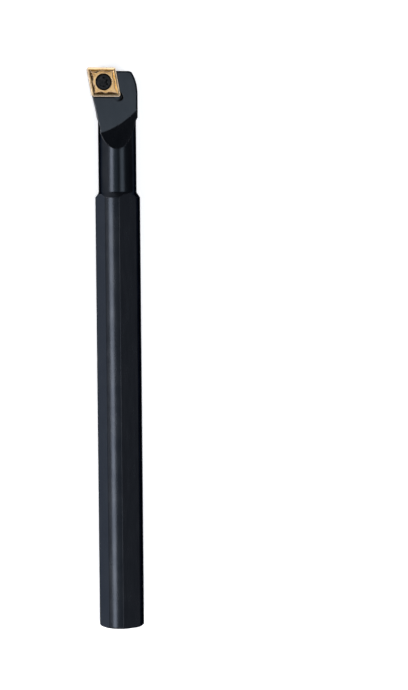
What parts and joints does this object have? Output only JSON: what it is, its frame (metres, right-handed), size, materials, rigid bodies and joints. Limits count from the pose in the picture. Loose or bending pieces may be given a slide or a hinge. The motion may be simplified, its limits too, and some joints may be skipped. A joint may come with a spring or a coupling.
{
  "type": "boring bar",
  "caption": "Slim steel boring bar: a round shank with long flats, a thinner neck and a side-reaching head where a screw clamps a rhombic cutting insert, for turning inside bores.",
  "frame": {"origin": "centre of the shank's end face, on the bar's axis", "axes": "+Y along the bar's axis from the shank's end to the cutting head, +Z square to the top flat on the side of the insert's top, +X away from the side that the cutting point reaches to"},
  "size_m": [0.012, 0.125, 0.009],
  "materials": {
    "blackened_steel": "blued black oxide, satin",
    "gold_carbide": "gold-coloured hard coating, satin",
    "black_screw": "black oxide, semi-matte"
  },
  "bodies": {
    "root": {"bar_body": "blackened_steel", "cutting_insert": "gold_carbide", "clamp_screw": "black_screw"}
  },
  "joints": []
}
